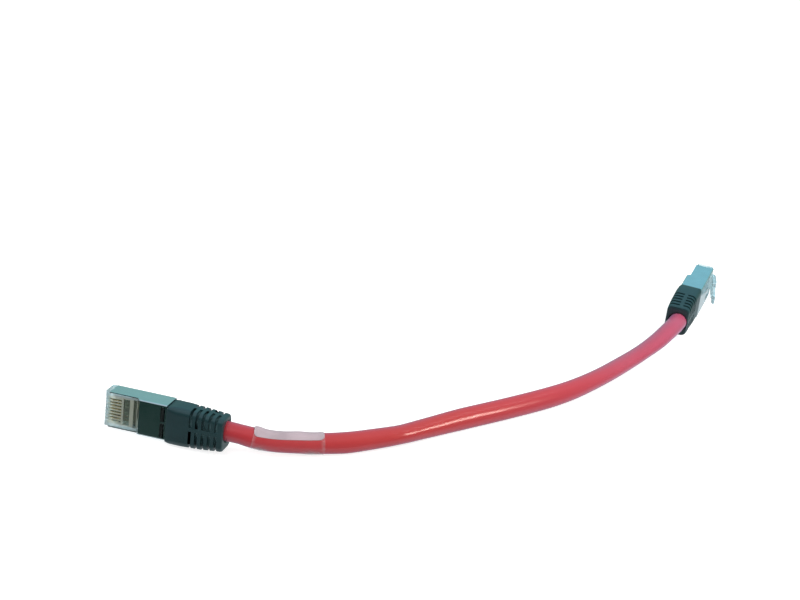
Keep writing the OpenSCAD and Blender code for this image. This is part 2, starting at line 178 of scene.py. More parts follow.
def easedCopy(nodeName, width):
    # A merged copy of a CAD node, its hard edges eased by a width in millimetres, if any.
    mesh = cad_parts[nodeName].data.copy()
    mesh.name = nodeName + "_eased"
    bm = bmesh.new()
    bm.from_mesh(mesh)
    bmesh.ops.remove_doubles(bm, verts=bm.verts, dist=edgeRules["merge"])
    if width:
        flat = math.radians(edgeRules["flat"])
        bmesh.ops.dissolve_limit(bm, angle_limit=flat, verts=bm.verts, edges=bm.edges,
                                 delimit={"NORMAL"})
    bm.to_mesh(mesh)
    bm.free()
    if "custom_normal" in mesh.attributes:
        mesh.attributes.remove(mesh.attributes["custom_normal"])
    piece = newObject(mesh.name, mesh)
    if width:
        easeEdges(piece, width * millimetre)
    else:
        smoothEdges(mesh, edgeRules["hard"])
        evenNormals(piece)
    return piece


def newTree(name, inputs):
    tree = bpy.data.node_groups.new(name, "GeometryNodeTree")
    face = tree.interface
    face.new_socket("Geometry", in_out="INPUT", socket_type="NodeSocketGeometry")
    for title, kind, value in inputs:
        socket = face.new_socket(title, in_out="INPUT", socket_type="NodeSocket" + kind)
        if value is not None:
            socket.default_value = value
    face.new_socket("Geometry", in_out="OUTPUT", socket_type="NodeSocketGeometry")
    start = tree.nodes.new("NodeGroupInput")
    end = tree.nodes.new("NodeGroupOutput")
    return tree, start.outputs, end.inputs[0]


def join(tree, value, socket):
    if isinstance(value, bpy.types.NodeSocket):
        tree.links.new(value, socket)
    else:
        socket.default_value = value


def addNode(tree, kind, settings=None, **sockets):
    node = tree.nodes.new(kind)
    for key, value in (settings or {}).items():
        setattr(node, key, value)
    for key, value in sockets.items():
        join(tree, value, node.inputs[key.replace("_", " ")])
    return node


def vectorMath(tree, operation, first, second=None, scale=None):
    node = tree.nodes.new("ShaderNodeVectorMath")
    node.operation = operation
    join(tree, first, node.inputs[0])
    if second is not None:
        join(tree, second, node.inputs[1])
    if scale is not None:
        join(tree, scale, node.inputs["Scale"])
    return node.outputs["Value" if operation == "DOT_PRODUCT" else "Vector"]


def carried(tree, name, kind):
    node = tree.nodes.new("GeometryNodeInputNamedAttribute")
    node.data_type = kind
    node.inputs["Name"].default_value = name
    return next(o for o in node.outputs if o.enabled and o.name == "Attribute")


def finishTree(tree, geometry, material, end):
    real = addNode(tree, "GeometryNodeRealizeInstances", Geometry=geometry)
    coated = addNode(tree, "GeometryNodeSetMaterial", Geometry=real.outputs[0], Material=material)
    tree.links.new(coated.outputs[0], end)


def runTree(piece, tree, values):
    grow = piece.modifiers.new("grow", "NODES")
    grow.node_group = tree
    for item in tree.interface.items_tree:
        if item.in_out == "INPUT" and item.name in values:
            grow[item.identifier] = values[item.name]
    return settle(piece)


def newMaterial(name):
    material = bpy.data.materials.new(name)
    material.use_nodes = True
    tree = material.node_tree
    return material, tree, tree.nodes["Principled BSDF"]


def objectSpot(tree):
    return tree.nodes.new("ShaderNodeTexCoord").outputs["Object"]


def ramp(tree, fac, stops):
    node = addNode(tree, "ShaderNodeValToRGB", Fac=fac)
    band = node.color_ramp
    while len(band.elements) < len(stops):
        band.elements.new(0.5)
    for element, (place, colour) in zip(band.elements, stops):
        element.position = place
        element.color = (*colour, 1)
    return node.outputs["Color"]


def levels(tree, fac, low, high, start=0.0, end=1.0):
    node = addNode(tree, "ShaderNodeMapRange", Value=fac)
    for title, value in (("From Min", start), ("From Max", end), ("To Min", low), ("To Max", high)):
        node.inputs[title].default_value = value
    return node.outputs["Result"]


def calculate(tree, operation, first, second=0.0):
    node = tree.nodes.new("ShaderNodeMath")
    node.operation = operation
    join(tree, first, node.inputs[0])
    join(tree, second, node.inputs[1])
    return node.outputs[0]


def mixColour(tree, fac, first, second):
    node = tree.nodes.new("ShaderNodeMix")
    node.data_type = "RGBA"
    for value, socket in ((fac, node.inputs[0]), (first, node.inputs[6]), (second, node.inputs[7])):
        join(tree, (*value, 1) if isinstance(value, tuple) else value, socket)
    return node.outputs[2]


def noise(tree, spot, scale, detail):
    return addNode(tree, "ShaderNodeTexNoise", Vector=spot, Scale=scale, Detail=detail).outputs["Fac"]


def bump(tree, shader, height, strength, distance):
    node = addNode(tree, "ShaderNodeBump", Height=height, Strength=strength, Distance=distance)
    tree.links.new(node.outputs["Normal"], shader.inputs["Normal"])


def shades(colour, low, high):
    # Two stops for a noise, whose values lie mostly between them.
    return [(0.3, [c * low for c in colour]), (0.7, [min(1, c * high) for c in colour])]


def shares(value, parts):
    return [value * part for part in parts]


def plugLocal(tree, side):
    # The point in its plug's own frame, in millimetres.
    back = plugPlace(side).inverted()
    local = addNode(tree, "ShaderNodeMapping", Vector=objectSpot(tree))
    local.inputs["Scale"].default_value = (1 / millimetre,) * 3
    local.inputs["Rotation"].default_value = back.to_euler("XYZ")
    local.inputs["Location"].default_value = back.translation
    return addNode(tree, "ShaderNodeSeparateXYZ", Vector=local.outputs[0]).outputs


# A noise is its scale and detail, and a bump its strength and distance in metres. Shade and
# roughness are the least and the most that the noise leaves of a finish's colour and roughness.
clearSurface = {"flow": (240, 2), "fine": (1300, 3), "shade": (0.98, 1.02), "roughness": (0.5, 1.5),
                "bump": (0.08, 0.0002), "coat": 1, "coatRough": 0.08, "coatIndex": 1.5}


def clearPlastic(name, look):
    # A low index keeps what lies inside in sight, and the coat gives the surface its shine.
    surface = clearSurface
    material, tree, shader = newMaterial(name)
    spot = objectSpot(tree)
    flow = noise(tree, spot, *surface["flow"])
    tree.links.new(ramp(tree, flow, shades(look["tint"], *surface["shade"])), shader.inputs["Base Color"])
    fine = noise(tree, spot, *surface["fine"])
    tree.links.new(levels(tree, fine, *shares(look["rough"], surface["roughness"])),
                   shader.inputs["Roughness"])
    shader.inputs["Transmission Weight"].default_value = 1 - look["haze"]
    shader.inputs["IOR"].default_value = look["index"]
    shader.inputs["Coat Weight"].default_value = surface["coat"]
    shader.inputs["Coat Roughness"].default_value = surface["coatRough"]
    shader.inputs["Coat IOR"].default_value = surface["coatIndex"]
    bump(tree, shader, flow, *surface["bump"])
    return material


def bodyPlastic(name, side, look):
    # Painted shade: dimmer down in the recesses of the contact face and dark inside the shell, and bright
    # elsewhere.
    material = clearPlastic(name, look)
    tree = material.node_tree
    spot = plugLocal(tree, side)
    paintedRecess = levels(tree, spot["Y"], 0, 1, *look["paintedRecessFrom"])
    outside = levels(tree, calculate(tree, "ABSOLUTE", spot["Z"]), 0, 1, *look["rimFrom"])
    front = levels(tree, spot["X"], 1, 0, *look["noseTo"])
    latchSide = levels(tree, spot["Y"], 0, 1, *look["latchFrom"])
    paintedShellShade = levels(tree, spot["X"], 0, 1, *look["shellFrom"])
    rim = calculate(tree, "MAXIMUM", outside, front)
    # painted shade: darker down in the recesses of the contact face
    colour = mixColour(tree, paintedRecess, look["tint"], look["paintedRecess"])
    colour = mixColour(tree, rim, colour, look["rim"])
    # painted shade: dark where the shell keeps the light off the clear body
    colour = mixColour(tree, paintedShellShade, colour, look["paintedShellShade"])
    colour = mixColour(tree, latchSide, colour, look["back"])
    tree.links.new(colour, tree.nodes["Principled BSDF"].inputs["Base Color"])
    return material


platedSurface = {"stretch": (1, 1, 9), "grain": (900, 5), "cloud": (240, 3), "shade": (0.93, 1.0),
                 "roughness": (0.7, 1.4), "bump": (0.12, 0.00012)}


def plated(name, look):
    surface = platedSurface
    material, tree, shader = newMaterial(name)
    spot = objectSpot(tree)
    drawn = addNode(tree, "ShaderNodeMapping", Vector=spot)
    drawn.inputs["Scale"].default_value = surface["stretch"]
    grain = noise(tree, drawn.outputs[0], *surface["grain"])
    cloud = noise(tree, spot, *surface["cloud"])
    tree.links.new(ramp(tree, cloud, shades(look["colour"], *surface["shade"])),
                   shader.inputs["Base Color"])
    tree.links.new(levels(tree, grain, *shares(look["rough"], surface["roughness"])),
                   shader.inputs["Roughness"])
    shader.inputs["Metallic"].default_value = 1
    bump(tree, shader, cloud, *surface["bump"])
    return material


mouldedSurface = {"detail": 6, "cloud": (180, 3), "shade": (0.86, 1.12), "roughness": (0.8, 1.2),
                  "bump": (0.22, 0.00006), "shine": 0.5}


def moulded(name, look):
    surface = {**mouldedSurface, **look}
    material, tree, shader = newMaterial(name)
    spot = objectSpot(tree)
    fine = noise(tree, spot, surface["grain"], surface["detail"])
    cloud = noise(tree, spot, *surface["cloud"])
    tree.links.new(ramp(tree, cloud, shades(surface["colour"], *surface["shade"])),
                   shader.inputs["Base Color"])
    tree.links.new(levels(tree, fine, *shares(surface["rough"], surface["roughness"])),
                   shader.inputs["Roughness"])
    shader.inputs["Specular IOR Level"].default_value = surface["shine"]
    bump(tree, shader, fine, *surface["bump"])
    return material


def bootVinyl(name, look):
    # Vinyl with painted light in its slots: paler further below the skin, so that the slots don't go
    # black.
    material = moulded(name, look)
    tree = material.node_tree
    base = tree.nodes["Principled BSDF"].inputs["Base Color"]
    recess = addNode(tree, "ShaderNodeAttribute", {"attribute_name": "recess"}).outputs["Fac"]
    # painted light: the slots grow paler with their depth below the convex hull
    paintedRecess = levels(tree, recess, 0, 1, *look["paintedRecessFrom"])
    tree.links.new(mixColour(tree, paintedRecess, base.links[0].from_socket, look["paintedRecess"]), base)
    return material


def jacketVinyl(name, look):
    # Soft vinyl with painted light and shade: its red turns pinker along the cable, and it is painted dark
    # inside the plugs.
    material, tree, shader = newMaterial(name)
    spot = objectSpot(tree)
    split = addNode(tree, "ShaderNodeSeparateXYZ", Vector=spot)
    # painted light: the red turns pinker along the cable
    along = levels(tree, split.outputs["X"], 0, 1, look["from"], look["to"])
    body = ramp(tree, along, look["stops"])
    cloud = noise(tree, spot, *look["cloud"])
    mottled = mixColour(tree, levels(tree, cloud, 0, look["mottle"]), body, look["mottleColour"])
    # painted shade: the jacket is painted dark where it lies inside a plug
    plugShadeMask = addNode(tree, "ShaderNodeAttribute", {"attribute_name": "plugShadeMask"}).outputs["Fac"]
    tree.links.new(mixColour(tree, plugShadeMask, mottled, look["paintedPlugShade"]), shader.inputs["Base Color"])
    fine = noise(tree, spot, *look["fine"])
    tree.links.new(levels(tree, fine, *shares(look["rough"], look["roughness"])),
                   shader.inputs["Roughness"])
    shader.inputs["Specular IOR Level"].default_value = look["shine"]
    shader.inputs["Sheen Weight"].default_value = look["sheen"]
    shader.inputs["Sheen Roughness"].default_value = look["sheenRough"]
    shader.inputs["Sheen Tint"].default_value = (*look["sheenTint"], 1)
    waves = noise(tree, spot, *look["waves"])
    height = calculate(tree, "ADD", calculate(tree, "MULTIPLY", fine, look["fineShare"]), waves)
    bump(tree, shader, height, *look["bump"])
    return material


def filmPlastic(name, look):
    # Almost clear film; its frost attribute says how milky it is at each point.
    material, tree, shader = newMaterial(name)
    frost = addNode(tree, "ShaderNodeAttribute", {"attribute_name": "frost"}).outputs["Fac"]
    cloud = noise(tree, objectSpot(tree), *look["cloud"])
    patchy = calculate(tree, "MULTIPLY", frost, levels(tree, cloud, *look["patchy"]))
    tree.links.new(calculate(tree, "ADD", patchy, look["least"]), shader.inputs["Alpha"])
    tree.links.new(ramp(tree, cloud, look["stops"]), shader.inputs["Base Color"])
    shader.inputs["Roughness"].default_value = look["rough"]
    bump(tree, shader, cloud, *look["bump"])
    return material


def stripedWire(name, side, index, stripe, look):
    # Insulation with a colour stripe along the wire's contact side.
    material, tree, shader = newMaterial(name)
    spot = plugLocal(tree, side)
    centre = (index - (plugSizes["contacts"] + 1) / 2) * plugSizes["pitch"]
    off = calculate(tree, "ABSOLUTE", calculate(tree, "SUBTRACT", spot["Z"], centre))
    near = calculate(tree, "LESS_THAN", off, plugSizes["stripeHalf"])
    front = calculate(tree, "LESS_THAN", spot["Y"], plugSizes["wireY"])
    mask = calculate(tree, "MULTIPLY", near, front)
    tree.links.new(mixColour(tree, mask, look["white"], stripe), shader.inputs["Base Color"])
    fine = noise(tree, objectSpot(tree), *look["fine"])
    tree.links.new(levels(tree, fine, *look["roughFrom"]), shader.inputs["Roughness"])
    return material


finishLooks = {
    "body": {
        # painted shade: the recesses' darker tone and the near black inside the shell
        "tint": (0.86, 0.90, 0.76), "paintedRecess": (0.26, 0.31, 0.25), "rim": (0.80, 0.92, 0.93),
        "back": (0.53, 0.72, 0.76), "paintedShellShade": (0.05, 0.06, 0.06),
        "rough": 0.04, "index": 1.2, "haze": 0.32,
        # millimetres in the plug's own frame
        "paintedRecessFrom": (0.1, 1.0), "rimFrom": (4.4, 4.9), "noseTo": (0.9, 1.4),
        "shellFrom": (11.2, 11.7), "latchFrom": (3.4, 4.0),
    },
    "latch": {"tint": (0.64, 0.85, 0.91), "rough": 0.12, "index": 1.2, "haze": 0.45},
    "bar": {"tint": (0.60, 0.64, 0.60), "rough": 0.25, "index": 1.2, "haze": 0.3},
    "nickel": {"colour": (0.78, 0.80, 0.80), "rough": 0.14},
    "gold": {"colour": (0.90, 0.66, 0.26), "rough": 0.2},
    "foil": {"colour": (0.7, 0.72, 0.74), "rough": 0.3},
    "boot": {
        "colour": (0.009, 0.037, 0.042), "rough": 0.38, "grain": 2600, "shine": 0.72,
        # painted light: a paler colour that fades in below the skin, so the slots don't go black
        "paintedRecess": (0.17, 0.31, 0.32), "paintedRecessFrom": (0.4, 1.4),  # millimetres below the skin
    },
    "wire": {
        "rough": 0.4, "grain": 3000,
        # the striped ones
        "white": (0.66, 0.66, 0.60), "fine": (3000, 3), "roughFrom": (0.32, 0.48),
    },
    "panel": {"colour": (0.475, 0.385, 0.42), "rough": 0.5, "grain": 4000},
    "film": {
        "cloud": (700, 3), "patchy": (0.55, 1.3), "least": 0.008, "rough": 0.22,
        "bump": (0.25, 0.0003), "stops": [(0.3, (0.62, 0.55, 0.58)), (0.7, (0.75, 0.68, 0.70))],
    },
    "jacket": {
        "from": -0.07, "to": 0.09, "rough": 0.21, "shine": 0.5, "sheen": 0.35,
        "sheenTint": (0.5, 0.55, 1.0), "mottle": 0.2, "mottleColour": (0.36, 0.03, 0.035),
        "sheenRough": 0.55, "paintedPlugShade": (0.04, 0.06, 0.065),
        "cloud": (160, 4), "fine": (1500, 5), "roughness": (0.8, 1.2), "waves": (90, 2),
        "fineShare": 0.06, "bump": (0.22, 0.0006),
        # painted light: darker red at one end, turning pinker towards the other
        "stops": [
            (0.0, (0.44, 0.028, 0.032)), (0.45, (0.50, 0.045, 0.035)),
            (0.75, (0.52, 0.048, 0.057)), (1.0, (0.49, 0.078, 0.14)),
        ],
    },
}
finishes = {
    "latch": clearPlastic("latchPolycarbonate", finishLooks["latch"]),
    "bar": clearPlastic("loadBarPlastic", finishLooks["bar"]),
    "nickel": plated("nickelPlate", finishLooks["nickel"]),
    "gold": plated("goldPlate", finishLooks["gold"]),
    "foil": plated("pairFoil", finishLooks["foil"]),
    "boot": bootVinyl("bootVinyl", finishLooks["boot"]),
    "jacket": jacketVinyl("jacketVinyl", finishLooks["jacket"]),
    "panel": moulded("labelPanel", finishLooks["panel"]),
    "film": filmPlastic("labelFilm", finishLooks["film"]),
}
wires = {
    1: {"stripe": (0.75, 0.26, 0.10)},  # orange on white
    2: {"colour": (0.75, 0.24, 0.09)},
    3: {"stripe": (0.10, 0.36, 0.16)},  # green on white
    4: {"colour": (0.08, 0.16, 0.34)},
    5: {"stripe": (0.10, 0.18, 0.36)},  # blue on white
    6: {"colour": (0.08, 0.28, 0.12)},
    7: {"stripe": (0.22, 0.13, 0.08)},  # brown on white
    8: {"colour": (0.20, 0.12, 0.07)},
}
print("materials made:", len(finishes))

cable = {
    "diameter": 6.4,
    "restGap": 0.1,
    "around": 40,
    "stepsPerPoint": 8,
    # share of the way between the boots along X and Y, and rise above the table
    "route": [
        (0.027, -0.007, 3.7), (0.052, -0.010, 3.0), (0.094, -0.003, 1.7), (0.144, 0.013, 0.8),
        (0.197, 0.030, 0.3), (0.243, 0.048, 0.1), (0.301, 0.085, 0.0), (0.354, 0.123, 0.0),
        (0.406, 0.173, 0.0), (0.481, 0.247, 0.0), (0.577, 0.335, 0.0), (0.675, 0.432, 0.0),
        (0.733, 0.502, 0.0), (0.798, 0.602, 0.0), (0.865, 0.723, 0.1), (0.905, 0.794, 0.7),
        (0.941, 0.859, 1.7), (0.972, 0.925, 2.8),
    ],
    # half height across the camera's line of sight at points along the path; the width
    # follows so that the area stays, up to the widest
    "tall": {
        0: 3.2, 4: 3.2, 5: 3.14, 6: 3.3, 9: 3.35, 10: 3.45, 11: 3.3, 12: 3.12, 13: 3.3, 14: 3.62,
        16: 3.58, 17: 3.4, 18: 3.05, 19: 2.78, 20: 2.62, 21: 2.85, 22: 3.05, 23: 3.2, 27: 3.2,
    },
    "widest": 3.55,
    "clear": 0.06,  # least air under the jacket or the film
    # the jacket along the next number of points at each end gets painted shade
    "hiddenPoints": 1.6,  # points of the path at each end that lie inside a plug
}
label = {
    "from": 6, "to": 9, "panelArc": (40, 138), "slant": 8, "filmArc": (-92, 264),
    "panelLift": 0.06, "panelThick": 0.1, "filmLift": 0.2, "filmThick": 0.12,
    "corner": 1.7, "finer": 4, "panelAcross": 24, "filmAcross": 72,
    # soft waves of the wrap: height, place along and length, and their middle and spread in degrees
    "waves": [(0.42, 0.07, 0.1), (0.22, 0.68, 0.13), (0.1, 0.95, 0.05)], "waveTop": (62, 34),
    # ripples of the panel's far edge: degrees, rate and start, and the share that they keep
    "ripples": [(5, 9.5, 0), (3, 21, 1)], "rippleShare": 0.6,
    # milky ends: strength and length; patches: strength, place along, length, degrees, spread
    "milkyEnds": (0.1, 0.06),
    "patches": [(0.4, 0.14, 0.1, 216, 20), (0.4, 0.85, 0.11, 218, 20)],
}


def bootSpot(s, bend):
    # Point of the boot's axis, s millimetres behind the nose.
    angle = math.hypot(*bend)
    way = (bend[0] / angle, bend[1] / angle)
    along = max(0, s - boot["bendStart"])
    turn = math.radians(angle * along / (boot["end"] - boot["bendStart"]))
    chord = along * math.sin(turn / 2) / (turn / 2) if turn else along
    offset = chord * math.sin(turn / 2)
    straight = min(s, boot["bendStart"])
    middle = plugSizes["axisY"] + way[0] * offset
    return Vector((straight + chord * math.cos(turn / 2), middle, way[1] * offset))


def leadOf(side):
    halfway = (boot["bendStart"] + boot["end"]) / 2
    stops = [plugSizes["jacketStart"], boot["start"], boot["bendStart"], halfway, boot["end"]]
    return [plugPlace(side) @ bootSpot(s, plugs[side]["bend"]) for s in stops]


def smoothLine(points, steps):
    # Centripetal spline through the points, evenly stepped.
    p = [2 * points[0] - points[1], *points, 2 * points[-1] - points[-2]]
    line = []
    for k in range(1, len(p) - 2):
        t = [0.0]
        for i in range(3):
            t.append(t[-1] + max(1e-9, (p[k + i] - p[k + i - 1]).length) ** 0.5)
        for n in range(steps if k < len(p) - 3 else steps + 1):
            u = t[1] + (t[2] - t[1]) * n / steps
            near = [
                p[k - 1 + i] * ((t[i + 1] - u) / (t[i + 1] - t[i]))
                + p[k + i] * ((u - t[i]) / (t[i + 1] - t[i])) for i in range(3)
            ]
            mid = [
                near[i] * ((t[i + 2] - u) / (t[i + 2] - t[i]))
                + near[i + 1] * ((u - t[i]) / (t[i + 2] - t[i])) for i in range(2)
            ]
            line.append(mid[0] * ((t[2] - u) / (t[2] - t[1])) + mid[1] * ((u - t[1]) / (t[2] - t[1])))
    return line


def lineLength(line):
    return sum((b - a).length for a, b in zip(line, line[1:]))


leadA, leadB = leadOf("a"), leadOf("b")[::-1]
span = leadB[0] - leadA[-1]
radius = cable["diameter"] / 2
route = [
    Vector((leadA[-1].x + x * span.x, leadA[-1].y + y * span.y, radius + cable["restGap"] + rise))
    for x, y, rise in cable["route"]
]


def jacketRings():
    # Every ring of the jacket: centre, heading, the way it stands tall, and its two stretches.
    steps = cable["stepsPerPoint"]
    line = smoothLine(leadA + route + leadB, steps)
    table = cable["tall"]
    rings = []
    for k, spot in enumerate(line):
        heading = (line[min(k + 1, len(line) - 1)] - line[max(k - 1, 0)]).normalized()
        tallWay = (cameraUp - heading * heading.dot(cameraUp)).normalized()
        tall = float(np.interp(k / steps, list(table), list(table.values())))
        wide = min(radius * radius / tall, cable["widest"])
        cover = 0
        if label["from"] * steps <= k <= label["to"] * steps:
            cover = label["filmLift"] + label["filmThick"]
        drop = math.hypot(tall * tallWay.z, wide * heading.cross(tallWay).z) + cover
        lift = max(0, drop + cable["clear"] - spot.z)
        # The lift runs along the camera's line of sight.
        moved = spot + Vector((0, -lift / math.tan(cameraPitch), lift))
        # Rings inside a plug are marked for painted shade on the jacket.
        inside = min(k, len(line) - 1 - k) < steps * cable["hiddenPoints"]
        rings.append({"spot": moved, "heading": heading, "tallWay": tallWay,
                      "tall": tall / radius, "wide": wide / radius, "plugShadeMask": 1.0 if inside else 0.0})
    return rings


rings = jacketRings()


def tubeTree():
    tree, start, end = newTree("ovalTube", [
        ("Radius", "Float", 0.0032), ("Around", "Int", 32), ("Finish", "Material", None),
    ])
    line = addNode(tree, "GeometryNodeMeshToCurve", Mesh=start["Geometry"])
    circle = addNode(tree, "GeometryNodeCurvePrimitiveCircle", Resolution=start["Around"],
                     Radius=start["Radius"])
    tube = addNode(tree, "GeometryNodeCurveToMesh", Curve=line.outputs[0],
                   Profile_Curve=circle.outputs[0])
    tube.inputs["Fill Caps"].default_value = True
    centre, tallWay = carried(tree, "centre", "FLOAT_VECTOR"), carried(tree, "tallWay", "FLOAT_VECTOR")
    spot = tree.nodes.new("GeometryNodeInputPosition").outputs[0]
    radial = vectorMath(tree, "SUBTRACT", spot, centre)
    reach = vectorMath(tree, "DOT_PRODUCT", radial, tallWay)
    upright = vectorMath(tree, "SCALE", tallWay, scale=reach)
    level = vectorMath(tree, "SUBTRACT", radial, upright)
    taller = vectorMath(tree, "SCALE", upright, scale=carried(tree, "tall", "FLOAT"))
    wider = vectorMath(tree, "SCALE", level, scale=carried(tree, "wide", "FLOAT"))
    place = vectorMath(tree, "ADD", centre, vectorMath(tree, "ADD", taller, wider))
    oval = addNode(tree, "GeometryNodeSetPosition", Geometry=tube.outputs[0], Position=place)
    finishTree(tree, oval.outputs[0], start["Finish"], end)
    return tree


def makeJacket():
    spots = [r["spot"] * millimetre for r in rings]
    edges = [(k, k + 1) for k in range(len(spots) - 1)]
    mesh = meshFrom("red_jacket", spots, [], edges)
    for name, values in (("centre", spots), ("tallWay", [r["tallWay"] for r in rings])):
        layer = mesh.attributes.new(name, "FLOAT_VECTOR", "POINT")
        layer.data.foreach_set("vector", np.array(values, np.float32).ravel())
    for name in ("tall", "wide", "plugShadeMask"):
        layer = mesh.attributes.new(name, "FLOAT", "POINT")
        layer.data.foreach_set("value", np.array([r[name] for r in rings], np.float32))
    piece = runTree(newObject("red_jacket", mesh), tubeTree(), {
        "Radius": radius * millimetre, "Around": cable["around"], "Finish": finishes["jacket"],
    })
    outward(piece.data)
    smoothEdges(piece.data, edgeRules["tubeHard"])
    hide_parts("jacket")
    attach(piece, "cable")
    return piece


jacket = makeJacket()
print("jacket made, path length", round(lineLength([r["spot"] for r in rings])), "mm")


def ringBetween(k, part):
    first, second = rings[k], rings[min(k + 1, len(rings) - 1)]
    mixed = {key: first[key] * (1 - part) + second[key] * part for key in first}
    mixed["heading"].normalize()
    mixed["tallWay"].normalize()
    return mixed


def onJacket(ring, angle, lift):
    # A point over the jacket's skin at an angle from level, lifted off it.
    up = (Vector((0, 0, 1)) - ring["heading"] * ring["heading"].z).normalized()
    flat = up.cross(ring["heading"]) * math.cos(angle) + up * math.sin(angle)
    upright = ring["tallWay"] * (flat.dot(ring["tallWay"]) * radius)
    level = flat * radius - upright
    return ring["spot"] + upright * ring["tall"] + level * ring["wide"] + flat * lift


def hump(x, middle, width):
    return math.exp(-(((x - middle) / width) ** 2))


def labelLift(along, degrees):
    # The wrap stands off the jacket in soft waves along its top.
    waves = sum(height * hump(along, middle, width) for height, middle, width in label["waves"])
    return waves * hump(degrees, *label["waveTop"])


def wrap(name, lift, thick, limits, steps, finish):
    steps2 = cable["stepsPerPoint"] * label["finer"]
    total = (label["to"] - label["from"]) * steps2
    outer, inner, places = [], [], []
    for n in range(total + 1):
        k, part = divmod(label["from"] * steps2 + n, label["finer"])
        ring = ringBetween(k, part / label["finer"])
        along = n / total
        low, high = limits(along)
        row = [low + (high - low) * i / steps for i in range(steps + 1)]
        outer.append([onJacket(ring, math.radians(a), lift + thick + labelLift(along, a)) for a in row])
        inner.append([onJacket(ring, math.radians(a), lift + labelLift(along, a)) for a in row])
        places += [(along, a) for a in row] + [(along, a) for a in row[::-1]]
    mesh = meshFrom(name, *loft([[p * millimetre for p in o + i[::-1]] for o, i in zip(outer, inner)]))
    layer = mesh.attributes.new("frost", "FLOAT", "POINT")
    layer.data.foreach_set("value", np.array([frostAt(*p) for p in places], np.float32))
    outward(mesh)
    smoothEdges(mesh, edgeRules["tubeHard"])
    mesh.materials.append(finish)
    return newObject(name, mesh)


def frostAt(along, degrees):
    # How milky the film is at a point.
    strength, length = label["milkyEnds"]
    border = strength * max(0, 1 - min(along, 1 - along) / length)
    patches = sum(
        milk * hump(along, middle, width) * hump(degrees, turn, spread)
        for milk, middle, width, turn, spread in label["patches"]
    )
    return max(border, patches)


labelStart, labelEnd = (label[key] * cable["stepsPerPoint"] for key in ("from", "to"))
labelLength = lineLength([r["spot"] for r in rings[labelStart:labelEnd + 1]])


def panelLimits(along):
    # Rounded corners, a rippled far edge and a slanting near one.
    corner = label["corner"]
    off = min(min(along, 1 - along) * labelLength, corner)
    inset = math.degrees((corner - math.sqrt(corner ** 2 - (corner - off) ** 2)) / radius)
    wave = sum(size * math.sin(along * rate + start) for size, rate, start in label["ripples"])
    low, high = label["panelArc"]
    return low + wave * label["rippleShare"] + inset, high - inset - label["slant"] * along


panel = wrap("label_print_panel", label["panelLift"], label["panelThick"], panelLimits,
             label["panelAcross"], finishes["panel"])
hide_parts("label_panel")
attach(panel, "cable")
film = wrap("label_clear_film", label["filmLift"], label["filmThick"], lambda along: label["filmArc"],
            label["filmAcross"], finishes["film"])
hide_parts("label_film")
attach(film, "cable")
print("label made")

blade = {"front": 1.4, "length": 3.9, "sink": 0.9, "noseR": 0.45, "tailR": 0.3, "thick": 0.35,
         "kinkAt": 3.3, "kinkHalf": 0.45, "kink": 0.3, "root": 2.61, "tip": 3.89, "point": 0.3,
         "tines": 3, "noseSteps": 8, "tailSteps": 6, "ease": 0.04}


def bladeOutline():
    b = blade
    back = b["front"] + b["length"]
    noseX, tailX = b["front"] + b["noseR"], back - b["tailR"]
    outline = [(b["front"], b["root"])]
    for n in range(b["noseSteps"] + 1):
        a = math.radians(180 + 90 * n / b["noseSteps"])
        outline.append((noseX + b["noseR"] * math.cos(a), b["sink"] + b["noseR"] * (1 + math.sin(a))))
    outline += [(b["kinkAt"] - b["kinkHalf"], b["sink"]), (b["kinkAt"], b["sink"] + b["kink"]),
                (b["kinkAt"] + b["kinkHalf"], b["sink"])]
    for n in range(b["tailSteps"] + 1):
        a = math.radians(270 + 90 * n / b["tailSteps"])
        outline.append((tailX + b["tailR"] * math.cos(a), b["sink"] + b["tailR"] * (1 + math.sin(a))))
    outline.append((back, b["root"]))
    tine = b["length"] / (2 * b["tines"] + 1)
    for k in reversed(range(b["tines"])):
        x = b["front"] + tine * (1 + 2 * k)
        shoulder = b["tip"] - b["point"]
        outline += [(x + tine, b["root"]), (x + tine, shoulder), (x + tine / 2, b["tip"]),
                    (x, shoulder), (x, b["root"])]
    return outline


def rowTree():
    tree, start, end = newTree("contactRow", [
        ("Count", "Int", 8), ("Pitch", "Float", 1.02), ("First", "Float", -3.57),
        ("Finish", "Material", None),
    ])
    first = addNode(tree, "ShaderNodeCombineXYZ", Z=start["First"])
    step = addNode(tree, "ShaderNodeCombineXYZ", Z=start["Pitch"])
    line = addNode(tree, "GeometryNodeMeshLine", Count=start["Count"], Start_Location=first.outputs[0],
                   Offset=step.outputs[0])
    row = addNode(tree, "GeometryNodeInstanceOnPoints", Points=line.outputs[0], Instance=start["Geometry"])
    finishTree(tree, row.outputs[0], start["Finish"], end)
    return tree


contactRow = rowTree()


def makeContacts(side):
    name = f"plug_{side}_contact_row"
    outline = bladeOutline()
    half = blade["thick"] / 2
    mesh = meshFrom(name, *loft([[(x, y, z) for x, y in outline] for z in (-half, half)]))
    outward(mesh)
    piece = newObject(name, mesh)
    easeEdges(piece, blade["ease"])
    count, pitch = plugSizes["contacts"], plugSizes["pitch"]
    runTree(piece, contactRow, {
        "Count": count, "Pitch": pitch, "First": -(count - 1) / 2 * pitch, "Finish": finishes["gold"],
    })
    piece.data.transform(plugMatrix(side))
    smoothEdges(piece.data, edgeRules["hard"])
    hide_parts(*[f"plug_{side}_contact_{i}" for i in wires])
    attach(piece, "cable")


# part of a plug: finish, material slot, width of its eased edges in millimetres, 0 for none
dressing = {
    "body": ("body", "clear_plastic", 0),
    "load_bar": ("bar", "load_bar", 0.05),
    "shell": ("nickel", "nickel_shell", 0.11),
    "latch": ("latch", "latch_plastic", 0.12),
    "boot": ("boot", "boot", 0.28),
}


